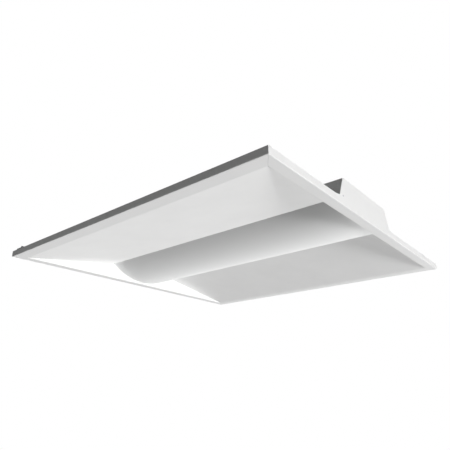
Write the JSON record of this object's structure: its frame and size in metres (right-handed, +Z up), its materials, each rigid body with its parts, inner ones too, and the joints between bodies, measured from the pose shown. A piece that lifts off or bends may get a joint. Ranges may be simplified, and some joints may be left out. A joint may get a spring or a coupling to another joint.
{
  "type": "recessed troffer light",
  "caption": "Square lay-in ceiling light with a narrow rim, two sloping white reflectors, a curved frosted lens that swings down, and a low spine housing for the driver.",
  "frame": {"origin": "middle of the plane of the rim's underside, which rests on the ceiling grid", "axes": "+X along the lens towards the end plate a, +Y across the lens towards wing b, +Z up into the ceiling"},
  "size_m": [0.603, 0.603, 0.0711],
  "materials": {
    "white_paint": "satin white powder coat",
    "tray_paint": "high-reflectance matte white",
    "diffuser": "frosted white",
    "moulded_white": "fine grain",
    "board_mask": "white solder mask",
    "led_package": "phosphor-filled",
    "zinc": "bright zinc plate",
    "spring_steel": "oiled spring steel",
    "dark_steel": "black oxide",
    "green_screw": "green dyed plate",
    "driver_metal": "bare plated sheet",
    "terminal_grey": "moulded",
    "terminal_orange": "moulded",
    "rubber": "matte"
  },
  "bodies": {
    "fixture": {"board_connector_a": "moulded_white", "board_connector_b": "moulded_white", "board_screws": "zinc", "clip_posts": "zinc", "corner_gusset_1": "zinc", "corner_gusset_2": "zinc", "corner_gusset_3": "zinc", "corner_gusset_4": "zinc", "cover_hinge_leaf_a": "zinc", "cover_hinge_leaf_b": "zinc", "cover_hinge_pins": "zinc", "driver_case": "driver_metal", "driver_input_terminal": "terminal_grey", "driver_output_terminal": "terminal_grey", "end_plate_a": "white_paint", "end_plate_b": "white_paint", "gear_screws": "zinc", "gear_tray": "tray_paint", "ground_screw": "green_screw", "led_board_a": "board_mask", "led_board_b": "board_mask", "led_chips_a": "led_package", "led_chips_b": "led_package", "lens_catch_a": "spring_steel", "lens_catch_b": "spring_steel", "side_wing_a": "white_paint", "side_wing_b": "white_paint", "spine_housing": "white_paint", "terminal_block": "terminal_orange", "tray_screws": "zinc", "wire_grommet": "rubber"},
    "lens_door": {"lens": "diffuser", "lens_end_cap_a": "moulded_white", "lens_end_cap_b": "moulded_white", "lens_hinge_pins": "zinc"},
    "cover": {"access_cover": "white_paint", "cover_screws": "zinc"},
    "clip_a": {"grid_clip_a": "dark_steel"},
    "clip_b": {"grid_clip_b": "dark_steel"}
  },
  "joints": [
    {"name": "lens_hinge", "type": "hinge", "parent": "fixture", "child": "lens_door", "pos_m": [0, -0.0842, 0.033], "axis": [-1, 0, 0], "range_deg": [0, 90]},
    {"name": "cover_hinge", "type": "hinge", "parent": "fixture", "child": "cover", "pos_m": [0, -0.059, 0.0687], "axis": [1, 0, 0], "range_deg": [0, 110]},
    {"name": "clip_a_swing", "type": "hinge", "parent": "fixture", "child": "clip_a", "pos_m": [-0.2845, -0.29695, 0.0119], "axis": [0, 0, -1], "range_deg": [0, 90]},
    {"name": "clip_b_swing", "type": "hinge", "parent": "fixture", "child": "clip_b", "pos_m": [0.2845, 0.29695, 0.0119], "axis": [0, 0, -1], "range_deg": [0, 90]}
  ]
}
